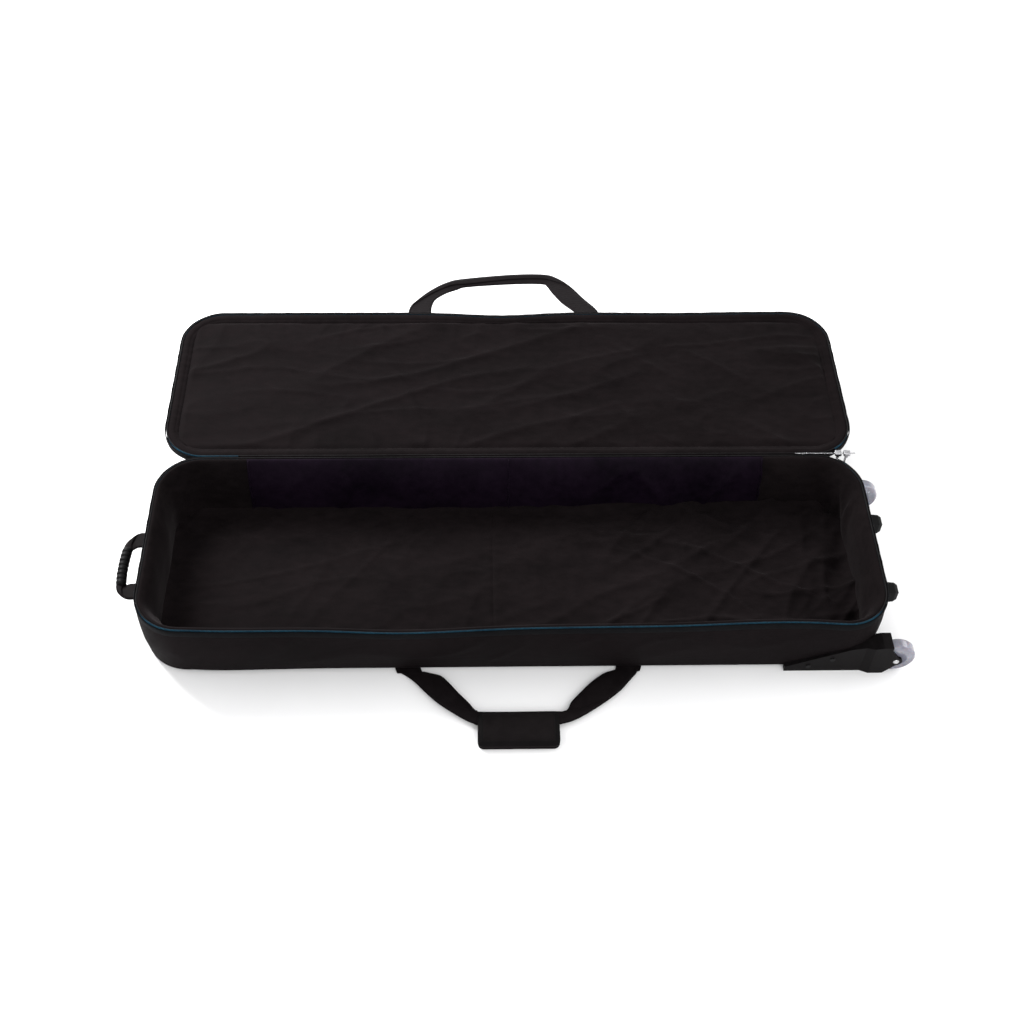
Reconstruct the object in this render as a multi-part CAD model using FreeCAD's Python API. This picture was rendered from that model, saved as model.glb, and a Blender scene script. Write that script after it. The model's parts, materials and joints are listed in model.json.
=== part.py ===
"""Long shallow soft case on two wheels, lying open.

A padded tub stands on its base with its lid thrown open behind it. Units are
millimetres. +X runs along the case to the wheel end, +Y to the hinge, +Z up.
The origin is the middle of the tub's underside.
"""
import FreeCAD, Part
import math
import os

from FreeCAD import Vector

# Tub
LENGTH = 1450.0
WIDTH = 430.0                  # at the rim
HEIGHT = 148.0                 # top of the zipper coil
CORNER_R = 88.0
BACK_LEAN = 18.0               # the back wall leans out by this from base to rim
TURN_UP = 16.0                 # height of the bottom fabric's turned-up edge
BASE_EDGE_R = 13.0

# Layers of the padding
FABRIC_T = 2.0
FOAM_T = 20.0
LINING_T = 2.0
WALL_T = FABRIC_T + FOAM_T + LINING_T
BOARD_T = 3.5
FLOOR_Z = TURN_UP + LINING_T
FOAM_TOP = HEIGHT - 6.0
GUSSET_TOP = HEIGHT - 3.4
RIM_TOP = HEIGHT - 1.0
RIM_INSET = 3.0
RIM_OVERHANG = 2.0             # the rolled rim stands in over the lining
GAP = 0.3                      # between soft pieces on different bodies

# Hinge and lid, both given for the open lid
HINGE_Y = WIDTH / 2 + 2.0
HINGE_Z = HEIGHT
LID_Y0 = HINGE_Y + 2.0
LID_Y1 = LID_Y0 + 431.0
LID_TOP = HINGE_Z - 1.0
LID_DEPTH = 30.0
LID_Z0 = LID_TOP - LID_DEPTH
LID_TURN_UP = 12.0
LID_EDGE_R = 10.0
LID_BOARD_T = 3.0
LID_LINING_Z = LID_Z0 + 20.0   # face of the lid's lining
WEB_X0 = -560.0                # the fabric hinge runs between these
WEB_X1 = 596.0
WEB_T = 1.6

# Zipper
COIL_R = 1.6
TAPE_T = 1.2
TAPE_H = 15.0
CHAIN_R = 1.5
CHAIN_END = 724.0
ZIP_STOP_ANGLE = 60.0          # the open tapes stop here on the parked corner
SLIDER_L, SLIDER_W, SLIDER_H = 14.0, 12.0, 8.0
SLIDER_X = (688.0, 706.0)
BAIL_DROP = 2.6                # the pull's pin sits this far below the slider
PULL_L, PULL_W, PULL_T = 32.0, 8.0, 2.0

# Wheels, placed in mirrored pairs about the middle of the narrower base
BASE_MID_Y = -BACK_LEAN / 2
WHEEL_R = 39.0
WHEEL_W = 25.0
WHEEL_X = 748.0
WHEEL_Y = -212.0
HUB_R = 22.0
BEARING_R, BEARING_W = 11.0, 7.0
BEARING_RECESS = 0.5
AXLE_R = 3.95
BEARING_BORE_R = 4.0
CHEEK_T = 5.0
CHEEK_GAP = 1.0
ARCH_GAP = 5.0
ARCH_T = 5.0
SKID_X0 = 534.0
SKID_Y = -224.0
EAR_R = 12.0

# Feet on the wheel end
FOOT_SPACING = 172.0
FOOT_Z = 84.0
FOOT_REACH = 40.0

# Haul handle on the far end
HAUL_Z = 75.0
HAUL_SPACING = 128.0
HAUL_REACH = 53.0
HAUL_TAB_W = 38.0
HAUL_T = 3.0
GRIP_R = 10.5
GRIP_BOW_R = 420.0
GRIP_L = 88.0
RING_COUNT = 8

# Carry straps
WEBBING_W = 50.0
WEBBING_T = 4.0
FRONT_HINGE_Y = -222.0
FRONT_HINGE_Z = 3.0
FRONT_RISE_DEG = 4.0
FRONT_ROOTS = (-200.0, 221.0)
WRAP_X0, WRAP_X1 = -71.0, 85.0
WRAP_Y0, WRAP_Y1 = -394.0, -322.0
WRAP_TOP = 22.0
LID_STRAP_Y = LID_Y1 + 5.0
LID_STRAP_Z = LID_Z0 + 12.0
LID_STRAP_DROOP_DEG = 12.0
LID_ROOTS = (-196.0, 188.0)

X = Vector(1, 0, 0)
Y = Vector(0, 1, 0)
Z = Vector(0, 0, 1)
HALF_L = LENGTH / 2
STRAIGHT_X = HALF_L - CORNER_R


def box(x0, x1, y0, y1, z0, z1):
    return Part.makeBox(x1 - x0, y1 - y0, z1 - z0, Vector(x0, y0, z0))


def rod(radius, start, along, length):
    return Part.makeCylinder(radius, length, start, along)


def fuse(shapes):
    whole = shapes[0]
    if len(shapes) > 1:
        whole = whole.multiFuse(shapes[1:])
    return whole.removeSplitter()


def plate(points, z0, z1):
    """Upright plate from a closed outline of (x, y) points."""
    corners = [Vector(x, y, z0) for x, y in points]
    face = Part.Face(Part.makePolygon(corners + corners[:1]))
    return face.extrude(Vector(0, 0, z1 - z0))


def rounded_wire(y0, y1, inset, z):
    """The case's outline at height z, moved in by inset."""
    x1 = HALF_L - inset
    x0 = -x1
    y0 = y0 + inset
    y1 = y1 - inset
    r = CORNER_R - inset
    k = r * (1 - math.sqrt(0.5))

    def at(x, y):
        return Vector(x, y, z)

    edges = [
        Part.LineSegment(at(x0 + r, y0), at(x1 - r, y0)),
        Part.Arc(at(x1 - r, y0), at(x1 - k, y0 + k), at(x1, y0 + r)),
        Part.LineSegment(at(x1, y0 + r), at(x1, y1 - r)),
        Part.Arc(at(x1, y1 - r), at(x1 - k, y1 - k), at(x1 - r, y1)),
        Part.LineSegment(at(x1 - r, y1), at(x0 + r, y1)),
        Part.Arc(at(x0 + r, y1), at(x0 + k, y1 - k), at(x0, y1 - r)),
        Part.LineSegment(at(x0, y1 - r), at(x0, y0 + r)),
        Part.Arc(at(x0, y0 + r), at(x0 + k, y0 + k), at(x0 + r, y0)),
    ]
    return Part.Wire([edge.toShape() for edge in edges])


def back_edge(z):
    """y of the tub's outer back face at height z."""
    rise = max(0.0, z - TURN_UP) / (HEIGHT - TURN_UP)
    return WIDTH / 2 - BACK_LEAN * (1 - rise)


def tub_layer(inset, z0, z1):
    """Solid with the tub's leaning outline, moved in by inset."""
    low = rounded_wire(-WIDTH / 2, back_edge(z0), inset, z0)
    high = rounded_wire(-WIDTH / 2, back_edge(z1), inset, z1)
    return Part.makeLoft([low, high], True, True)


def tub_ring(outer, inner, z0, z1):
    return tub_layer(outer, z0, z1).cut(tub_layer(inner, z0, z1))


def straight_layer(y0, y1, inset, z0, z1):
    face = Part.Face(rounded_wire(y0, y1, inset, z0))
    return face.extrude(Vector(0, 0, z1 - z0))


def base_layer(inset, z0, z1):
    return straight_layer(-WIDTH / 2, back_edge(TURN_UP), inset, z0, z1)


def rim_ring(outer, inner, z0, z1):
    whole = straight_layer(-WIDTH / 2, WIDTH / 2, outer, z0, z1)
    return whole.cut(straight_layer(-WIDTH / 2, WIDTH / 2, inner, z0, z1))


def lid_layer(inset, z0, z1):
    return straight_layer(LID_Y0, LID_Y1, inset, z0, z1)


def lid_ring(outer, inner, z0, z1):
    return lid_layer(outer, z0, z1).cut(lid_layer(inner, z0, z1))


def round_bottom(solid, radius, z):
    """Round the edges that lie at height z."""
    low = [e for e in solid.Edges if abs(e.BoundBox.ZMax - z) < 0.01]
    return solid.makeFillet(radius, low)


def round_top(solid, radius, z):
    high = [e for e in solid.Edges if abs(e.BoundBox.ZMin - z) < 0.01]
    return solid.makeFillet(radius, high)


def mirrored(shape):
    """The same piece at the back corner."""
    return shape.mirror(Vector(0, BASE_MID_Y, 0), Y)


# ---- tub ----------------------------------------------------------------

def make_base():
    outer = round_bottom(base_layer(0, 0, TURN_UP), BASE_EDGE_R, 0)
    inside = base_layer(FABRIC_T, FABRIC_T, TURN_UP)
    inside = round_bottom(inside, BASE_EDGE_R - FABRIC_T, FABRIC_T)
    board = base_layer(BASE_EDGE_R + 3, FABRIC_T, FABRIC_T + BOARD_T)
    lining = base_layer(WALL_T + 0.2, TURN_UP, FLOOR_Z)
    crease_x = -38.0
    left = box(-HALF_L, crease_x - 0.1, -WIDTH, WIDTH, 0, HEIGHT)
    return {
        "base_panel": outer.cut(inside),
        "base_board": board,
        "base_foam": inside.cut(board),
        "floor_lining_left": lining.common(left),
        "floor_lining_right": lining.common(left.mirror(Vector(crease_x, 0, 0), X)),
    }


def wall_parts(ring, middle_y=0.0):
    """Front, back, left and right stretches of a wall layer."""
    top = HEIGHT + 1
    low_y, high_y = middle_y - WIDTH, middle_y + WIDTH
    return {
        "front": ring.common(box(-STRAIGHT_X, STRAIGHT_X, low_y, middle_y, 0, top)),
        "back": ring.common(box(-STRAIGHT_X, STRAIGHT_X, middle_y, high_y, 0, top)),
        "left": ring.common(box(-LENGTH, -STRAIGHT_X, low_y, high_y, 0, top)),
        "right": ring.common(box(STRAIGHT_X, LENGTH, low_y, high_y, 0, top)),
    }


def make_walls():
    foam = wall_parts(tub_ring(FABRIC_T, FABRIC_T + FOAM_T, TURN_UP, FOAM_TOP))
    lining = wall_parts(tub_ring(FABRIC_T + FOAM_T, WALL_T, TURN_UP, FOAM_TOP))
    plate_x = HALF_L - FABRIC_T
    end_plate = box(plate_x - 3, plate_x, BASE_MID_Y - 110, BASE_MID_Y + 110, 45, 120)
    seam_x = -3.0
    top = HEIGHT + 1
    nodes = {name + "_wall_foam": solid for name, solid in foam.items()}
    nodes["right_wall_foam"] = foam["right"].cut(end_plate)
    nodes["end_plate"] = end_plate
    nodes["side_gusset"] = tub_ring(0, FABRIC_T, TURN_UP, GUSSET_TOP)
    for name in ("front", "left", "right"):
        nodes[name + "_wall_lining"] = lining[name]
    nodes["back_panel_left"] = lining["back"].common(box(-LENGTH, seam_x - 0.1, 0, WIDTH, 0, top))
    nodes["back_panel_right"] = lining["back"].common(box(seam_x + 0.1, LENGTH, 0, WIDTH, 0, top))
    rim = rim_ring(RIM_INSET, WALL_T + RIM_OVERHANG, FOAM_TOP, RIM_TOP)
    nodes["rim_binding"] = round_top(rim, 2.0, RIM_TOP)
    return nodes


# ---- zipper -------------------------------------------------------------

def coil_path(y_side, y_back, toward, z):
    """Route of an open zipper coil round three sides of the rim.

    It starts on the parked corner, runs along the hinge end away from the
    hinge and round to the other end of the fabric hinge. toward is +1 where
    the hinge lies on the +Y side of the outline and -1 where it doesn't.
    """
    inset = 0.3
    r = CORNER_R - inset
    x1 = HALF_L - inset
    hinge_c = y_back - toward * CORNER_R
    far_c = y_side + toward * CORNER_R

    def arc(cx, cy, a0, a1):
        ends = [math.radians(a) for a in (a0, (a0 + a1) / 2, a1)]
        points = [Vector(cx + r * math.cos(a), cy + toward * r * math.sin(a), z) for a in ends]
        return Part.Arc(*points).toShape()

    def line(xa, ya, xb, yb):
        return Part.LineSegment(Vector(xa, ya, z), Vector(xb, yb, z)).toShape()

    y_far = far_c - toward * r
    y_near = hinge_c + toward * r
    return Part.Wire([
        arc(STRAIGHT_X, hinge_c, ZIP_STOP_ANGLE, 0),
        line(x1, hinge_c, x1, far_c),
        arc(STRAIGHT_X, far_c, 0, -90),
        line(STRAIGHT_X, y_far, -STRAIGHT_X, y_far),
        arc(-STRAIGHT_X, far_c, -90, -180),
        line(-x1, far_c, -x1, hinge_c),
        arc(-STRAIGHT_X, hinge_c, 180, 90),
        line(-STRAIGHT_X, y_near, WEB_X0, y_near),
    ])


def make_coil(path):
    start = path.Edges[0]
    tangent = start.tangentAt(start.FirstParameter)
    ring = Part.Wire(Part.makeCircle(COIL_R, start.valueAt(start.FirstParameter), tangent))
    return path.makePipeShell([ring], True, True)


def zip_tape(ring, y_back, toward):
    """The tape leaves the fabric hinge and the parked corner free."""
    stop = math.radians(ZIP_STOP_ANGLE)
    stop_x = STRAIGHT_X + CORNER_R * math.cos(stop)
    y_inner = y_back - toward * CORNER_R * (1 - math.sin(stop)) - toward * 8
    y_outer = y_back + toward * 10
    low, high = sorted((y_inner, y_outer))
    return ring.cut(box(WEB_X0, stop_x, low, high, 0, HEIGHT + 5))


def make_zipper():
    tape_z = GUSSET_TOP - TAPE_H
    body_ring = tub_ring(-TAPE_T, 0, tape_z, GUSSET_TOP)
    lid_top = LID_TOP - 3.4
    lid_tape_ring = lid_ring(-TAPE_T, 0, lid_top - TAPE_H, lid_top)
    half = WIDTH / 2
    body_path = coil_path(-half, half, 1, HEIGHT - COIL_R)
    lid_path = coil_path(LID_Y1, LID_Y0, -1, LID_TOP - COIL_R)
    chain_x = WEB_X1 + 1
    chain = rod(CHAIN_R, Vector(chain_x, HINGE_Y, HINGE_Z), X, CHAIN_END - chain_x)
    stop = rod(3.2, Vector(CHAIN_END, HINGE_Y, HINGE_Z), X, 4)
    return {
        "body_zip_tape": zip_tape(body_ring, half, 1),
        "lid_zip_tape": zip_tape(lid_tape_ring, LID_Y0, -1),
        "body_zip_coil": make_coil(body_path),
        "lid_zip_coil": make_coil(lid_path),
        "zip_chain_closed": fuse([chain, stop]),
    }


def make_slider(x):
    slider = Part.makeBox(SLIDER_L, SLIDER_W, SLIDER_H,
                          Vector(x - SLIDER_L / 2, HINGE_Y - SLIDER_W / 2, HINGE_Z - SLIDER_H / 2))
    slider = slider.makeFillet(1.5, slider.Edges)
    bore = rod(CHAIN_R + 0.05, Vector(x - SLIDER_L, HINGE_Y, HINGE_Z), X, 2 * SLIDER_L)
    bail_z = HINGE_Z - SLIDER_H / 2 - BAIL_DROP
    ears = [box(x - 2.5, x + 2.5, HINGE_Y + side - 1, HINGE_Y + side + 1, bail_z - 2, HINGE_Z - 3)
            for side in (-4.5, 4.5)]
    pin = rod(1.0, Vector(x, HINGE_Y - 4.5, bail_z), Y, 9)
    return fuse([slider.cut(bore)] + ears + [pin])


def make_pull(x):
    """The pull hangs from the slider's pin."""
    pin_z = HINGE_Z - SLIDER_H / 2 - BAIL_DROP
    eye = rod(2.4, Vector(x, HINGE_Y - 3, pin_z), Y, 6)
    tab = box(x - PULL_T / 2, x + PULL_T / 2, HINGE_Y - PULL_W / 2 + 1, HINGE_Y + PULL_W / 2 - 1,
              pin_z - PULL_L, pin_z)
    whole = fuse([eye, tab])
    return whole.cut(rod(1.05, Vector(x, HINGE_Y - 5, pin_z), Y, 10))


def make_sliders():
    nodes = {}
    for name, x in zip(("inner", "outer"), SLIDER_X):
        nodes["zip_slider_" + name] = make_slider(x)
        nodes["zip_pull_" + name] = make_pull(x)
    return nodes


# ---- lid ----------------------------------------------------------------

def make_lid():
    fold = LID_Z0 + LID_TURN_UP
    outer = round_bottom(lid_layer(0, LID_Z0, fold), LID_EDGE_R, LID_Z0)
    floor = LID_Z0 + FABRIC_T
    inside = round_bottom(lid_layer(FABRIC_T, floor, fold), LID_EDGE_R - FABRIC_T, floor)
    board = lid_layer(LID_EDGE_R + 3, floor, floor + LID_BOARD_T)
    lining_z = LID_LINING_Z - LINING_T
    slab = lid_layer(FABRIC_T + FOAM_T, fold, lining_z)
    foam_top = LID_TOP - 6
    rim = lid_ring(RIM_INSET, WALL_T + RIM_OVERHANG, foam_top, LID_TOP - 1)
    rim = round_top(rim, 2.0, LID_TOP - 1)
    facing = lid_ring(FABRIC_T + FOAM_T, WALL_T, LID_LINING_Z, foam_top)
    edge_foam = wall_parts(lid_ring(FABRIC_T, FABRIC_T + FOAM_T, fold, foam_top),
                           (LID_Y0 + LID_Y1) / 2)
    anchors = [box(x - WEBBING_W / 2, x + WEBBING_W / 2, LID_Y1, LID_Y1 + 2.5,
                   LID_STRAP_Z - 9, LID_STRAP_Z + 9) for x in LID_ROOTS]
    return {
        "lid_panel": outer.cut(inside),
        "lid_board": board,
        "lid_foam": fuse([inside.cut(board), slab]),
        "lid_lining": lid_layer(FABRIC_T + FOAM_T, lining_z, LID_LINING_Z),
        "lid_edge_foam": Part.makeCompound(list(edge_foam.values())),
        "lid_gusset": lid_ring(0, FABRIC_T, fold, LID_TOP - 3.4),
        "lid_rim_binding": fuse([rim, facing]),
        "lid_strap_anchors": Part.makeCompound(anchors),
    }


def make_hinge_web():
    """One strip of fabric, as its two halves either side of the hinge line."""
    low = HINGE_Z - LID_DEPTH
    inner = WIDTH / 2
    return {
        "hinge_web_tub": box(WEB_X0, WEB_X1, inner, inner + WEB_T, low, HINGE_Z - 1.5),
        "hinge_web_lid": box(WEB_X0, WEB_X1, LID_Y0 - WEB_T, LID_Y0, low, HINGE_Z - 2.5),
    }


# ---- wheel end ----------------------------------------------------------

def side_plate(points, y0, y1):
    """Plate standing in the XZ plane between y0 and y1."""
    corners = [Vector(x, y0, z) for x, z in points]
    face = Part.Face(Part.makePolygon(corners + corners[:1]))
    return face.extrude(Vector(0, y1 - y0, 0))


def make_housing():
    """Front corner guard, not yet shaped to the tub: skid, arch and two cheeks."""
    axle_z = WHEEL_R
    out_face = WHEEL_Y - WHEEL_W / 2 - CHEEK_GAP
    in_face = WHEEL_Y + WHEEL_W / 2 + CHEEK_GAP
    out_y = out_face - CHEEK_T
    in_y = in_face + CHEEK_T
    arch_in = WHEEL_R + ARCH_GAP
    arch_out = arch_in + ARCH_T
    top_z = axle_z + arch_out * 0.97
    end_x = WHEEL_X - 14
    profile = [(SKID_X0, 0), (SKID_X0, 14), (600, 46), (656, 72), (700, top_z - 4), (716, top_z),
               (end_x, top_z), (end_x, 74), (WHEEL_X + 3, axle_z + EAR_R), (WHEEL_X, axle_z),
               (WHEEL_X + 2, axle_z - EAR_R), (728, 0)]
    block = side_plate(profile, out_y, WHEEL_Y + 62)
    block = fuse([block, rod(EAR_R, Vector(WHEEL_X, out_y, axle_z), Y, in_y - out_y)])
    plan = plate([(SKID_X0, SKID_Y), (684, SKID_Y), (700, out_y), (WHEEL_X + 20, out_y),
                  (WHEEL_X + 20, in_y), (700, in_y), (672, WHEEL_Y + 60), (SKID_X0, WHEEL_Y + 20)],
                 -1, 120)
    block = block.common(plan)
    well = rod(arch_in, Vector(WHEEL_X, out_face, axle_z), Y, in_face - out_face)
    mouth = box(WHEEL_X, WHEEL_X + 60, out_face, in_face, -10, 150)
    under = box(WHEEL_X - arch_in, WHEEL_X + 60, out_face, in_face, -10, axle_z)
    bore = rod(AXLE_R + 0.05, Vector(WHEEL_X, out_y - 5, axle_z), Y, 60)
    for cutter in (well, mouth, under, bore):
        block = block.cut(cutter)
    return block


def make_axle():
    """Bolt through both cheeks, with a domed head outside and a nut inside."""
    reach = WHEEL_W / 2 + CHEEK_GAP + CHEEK_T
    start = Vector(WHEEL_X, WHEEL_Y - reach, WHEEL_R)
    shank = rod(AXLE_R, start, Y, 2 * reach)
    head = Part.makeSphere(7.5, start + Vector(0, 4.5, 0))
    head = head.common(box(WHEEL_X - 9, WHEEL_X + 9, start.y - 4, start.y, WHEEL_R - 9, WHEEL_R + 9))
    nut = rod(6.0, Vector(WHEEL_X, WHEEL_Y + reach, WHEEL_R), Y, 3)
    return fuse([shank, head, nut])


def make_wheel():
    start = Vector(WHEEL_X, WHEEL_Y - WHEEL_W / 2, WHEEL_R)
    blank = rod(WHEEL_R, start, Y, WHEEL_W)
    rims = [e for e in blank.Edges if e.Curve.TypeId == "Part::GeomCircle"]
    tyre = blank.makeFillet(6.0, rims).cut(rod(HUB_R, start, Y, WHEEL_W))
    hub = rod(HUB_R, start, Y, WHEEL_W)
    hub = hub.cut(rod(BEARING_R - 3, start, Y, WHEEL_W))
    bearings = []
    for y in (start.y + BEARING_RECESS, start.y + WHEEL_W - BEARING_W - BEARING_RECESS):
        seat_y = y - BEARING_RECESS if y < WHEEL_Y else y
        hub = hub.cut(rod(BEARING_R, Vector(WHEEL_X, seat_y, WHEEL_R), Y, BEARING_W + BEARING_RECESS))
        at = Vector(WHEEL_X, y, WHEEL_R)
        bearings.append(rod(BEARING_R, at, Y, BEARING_W).cut(rod(BEARING_BORE_R, at, Y, BEARING_W)))
    return tyre, hub, Part.makeCompound(bearings)


def make_screw(head_at, into, head_r=4.5, length=12.0):
    """Pan head screw whose head sits on the surface at head_at."""
    head = rod(head_r, head_at - into * 2.4, into, 2.4)
    return fuse([head, rod(2.0, head_at, into, length)])


def make_foot(y):
    """Tapered foot on a flange."""
    wall = HALF_L
    flange = box(wall, wall + 4, y - 19, y + 19, FOOT_Z - 24, FOOT_Z + 24)
    flange = flange.makeFillet(3.0, [e for e in flange.Edges if abs(e.BoundBox.XLength - 4) < 0.01])

    def section(x, half_y, half_z):
        corners = [Vector(x, y + sy * half_y, FOOT_Z + sz * half_z)
                   for sy, sz in ((-1, -1), (1, -1), (1, 1), (-1, 1))]
        return Part.makePolygon(corners + corners[:1])

    neck_x = wall + FOOT_REACH - 7
    tip_x = wall + FOOT_REACH
    body = Part.makeLoft([section(wall + 4, 14, 17), section(neck_x, 12.5, 15)], True, True)
    tip = Part.makeLoft([section(neck_x, 12.5, 15), section(tip_x, 9.5, 11)], True, True)
    return fuse([flange, body, tip])


def make_wheel_end():
    tyre, hub, bearings = make_wheel()
    axle = make_axle()
    screws = [make_screw(Vector(x, SKID_Y, z), Y, length=5.0) for x, z in ((624, 40), (580, 18))]
    screws += [mirrored(s) for s in screws]
    housing = make_housing()
    nodes = {}
    holes = Part.makeCompound(screws)
    for name, guard in (("front", housing), ("rear", mirrored(housing))):
        for cutter in (base_layer(0, 0, TURN_UP), tub_layer(0, TURN_UP, HEIGHT), holes):
            guard = guard.cut(cutter)
        nodes["wheel_housing_" + name] = guard
    for name, shape in (("tyre", tyre), ("hub", hub), ("bearings", bearings)):
        nodes["wheel_" + name + "_front"] = shape
        nodes["wheel_" + name + "_rear"] = mirrored(shape)
    nodes["axle_front"] = axle
    nodes["axle_rear"] = mirrored(axle)
    nodes["housing_screws"] = holes
    foot_ys = (BASE_MID_Y - FOOT_SPACING / 2, BASE_MID_Y + FOOT_SPACING / 2)
    foot_screws = [make_screw(Vector(HALF_L + 4, y, FOOT_Z + z), -X, 3.0, 10.0)
                   for y in foot_ys for z in (-20.6, 20.6)]
    foot_screws = Part.makeCompound(foot_screws)
    for name, y in zip(("front", "rear"), foot_ys):
        nodes["stand_foot_" + name] = make_foot(y).cut(foot_screws)
    nodes["foot_screws"] = foot_screws
    return nodes


# ---- haul handle --------------------------------------------------------

def grip_point(y):
    """Point of the grip's bowed middle line, in plan."""
    sag = GRIP_BOW_R - math.sqrt(GRIP_BOW_R ** 2 - y ** 2)
    return Vector(-HALF_L - HAUL_REACH - 2 + sag, y + BASE_MID_Y - 5, HAUL_Z)


def make_haul_handle():
    half = GRIP_L / 2
    spine = Part.Arc(grip_point(-half), grip_point(0), grip_point(half)).toShape()
    along = spine.tangentAt(spine.FirstParameter)
    ring = Part.Wire(Part.makeCircle(GRIP_R - 1, grip_point(-half), along))
    grip = Part.Wire([spine]).makePipeShell([ring], True, True)
    rings = []
    for i in range(RING_COUNT):
        y = -half + 10 + (GRIP_L - 20) * i / (RING_COUNT - 1)
        here = grip_point(y)
        ahead = (grip_point(y + 1) - grip_point(y - 1)).normalize()
        rings.append(rod(GRIP_R, here - ahead * 2.5, ahead, 5))
    grip = fuse([grip] + rings)
    hinge_x = -HALF_L - 3.3
    tab = HAUL_TAB_W / 2
    y_top = BASE_MID_Y + HAUL_SPACING / 2
    y_low = BASE_MID_Y - HAUL_SPACING / 2
    outer = [(p.x - 4, p.y) for p in map(grip_point, (half + 8, half, 0, -half, -half - 8))]
    inner = [(p.x + 4, p.y) for p in map(grip_point, (-half - 2, -half, 0, half, half + 2))]
    outline = [(hinge_x, y_top + tab)] + outer + [(hinge_x, y_low - tab), (hinge_x, y_low + tab)]
    outline += inner + [(hinge_x, y_top - tab)]
    webbing = plate(outline, HAUL_Z - HAUL_T / 2, HAUL_Z + HAUL_T / 2)
    anchors = [box(-HALF_L - 2.5, -HALF_L, y - tab, y + tab, HAUL_Z - 26, HAUL_Z + 26)
               for y in (y_low, y_top)]
    return {
        "haul_grip": grip.cut(webbing),
        "haul_webbing": webbing,
        "haul_anchors": Part.makeCompound(anchors),
    }


# ---- carry straps -------------------------------------------------------

def make_front_strap():
    """Webbing that lies on the floor, with a padded wrap on its bight."""
    y0 = FRONT_HINGE_Y - GAP
    left, right = FRONT_ROOTS
    half = WEBBING_W / 2
    outline = [(left - half, y0), (-196, -250), (-142, -297), (-84, -345), (-70, -349), (85, -349),
               (96, -345), (172, -300), (226, -252), (right + half, y0), (right - half, y0),
               (190, -246), (100, -318), (85, -324), (-70, -324), (-80, -318), (-148, -246),
               (left + half, y0)]
    webbing = plate(outline, FRONT_HINGE_Z - WEBBING_T / 2, FRONT_HINGE_Z + WEBBING_T / 2)
    webbing.rotate(Vector(0, FRONT_HINGE_Y, FRONT_HINGE_Z), X, -FRONT_RISE_DEG)
    webbing = webbing.common(box(-LENGTH, LENGTH, -WIDTH * 2, y0, 0, HEIGHT))
    channel_z0, channel_z1 = 7.5, 15.0
    split_y = -353.0
    base = box(WRAP_X0, WRAP_X1, WRAP_Y0, WRAP_Y1, 0.5, channel_z0)
    hook = box(WRAP_X0 + 20, WRAP_X1 - 20, WRAP_Y0 + 6, split_y - 6, channel_z0, channel_z0 + 1.2)
    flap = box(WRAP_X0, WRAP_X1, WRAP_Y0, WRAP_Y1, channel_z1, WRAP_TOP)
    lip = box(WRAP_X0, WRAP_X1, WRAP_Y0, split_y, channel_z0 + 1.2 + GAP, channel_z1)
    flap = fuse([flap, lip])
    edges = [e for e in flap.Edges if abs(e.BoundBox.ZMin - WRAP_TOP) < 0.01]
    anchor_y = FRONT_HINGE_Y + 2.2
    anchors = [box(x - half, x + half, anchor_y, -203, 1, 4) for x in FRONT_ROOTS]
    return {
        "front_strap_webbing": webbing,
        "wrap_base": base,
        "wrap_hook_tape": hook,
        "wrap_flap": flap.makeFillet(5.0, edges),
        "front_strap_anchors": Part.makeCompound(anchors),
    }


def make_lid_strap():
    """Webbing that droops behind the open lid."""
    y0 = LID_STRAP_Y
    left, right = LID_ROOTS
    half = WEBBING_W / 2
    reach = [(left - half, 0), (-215, 45), (-172, 104), (-98, 156), (17, 178), (99, 176),
             (160, 122), (right + half - 6, 45), (right + half, 0), (right - half, 0), (98, 146),
             (16, 150), (-92, 130), (-138, 96), (left + half, 0)]
    strap = plate([(x, y0 + v) for x, v in reach], LID_STRAP_Z - WEBBING_T / 2,
                  LID_STRAP_Z + WEBBING_T / 2)
    strap.rotate(Vector(0, y0, LID_STRAP_Z), X, -LID_STRAP_DROOP_DEG)
    return {"lid_strap_webbing": strap.common(box(-LENGTH, LENGTH, y0, 2000, 0, HEIGHT))}


def main():
    os.makedirs("parts", exist_ok=True)
    nodes = {}
    for made in (make_base(), make_walls(), make_zipper(), make_sliders(), make_lid(),
                 make_hinge_web(), make_wheel_end(), make_haul_handle(), make_front_strap(),
                 make_lid_strap()):
        nodes.update(made)
    for name in ("base_panel", "base_foam"):
        nodes[name] = nodes[name].cut(nodes["front_strap_anchors"])
    nodes["lid_strap_anchors"] = nodes["lid_strap_anchors"].cut(nodes["lid_zip_tape"])
    for name in ("side_gusset", "end_plate", "right_wall_foam"):
        nodes[name] = nodes[name].cut(nodes["foot_screws"])
    for name, shape in nodes.items():
        shape.exportStep("parts/" + name + ".step")
        print(name, len(shape.Solids), shape.isValid(), round(shape.Volume / 1000, 1), "cm3")
    print(len(nodes), "nodes")


main()
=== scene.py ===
"""Looks of the long wheeled soft case: padded tub, open lid, straps, zipper and wheels."""
import json
import math

import bpy
from mathutils import Matrix, Vector, noise


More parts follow.
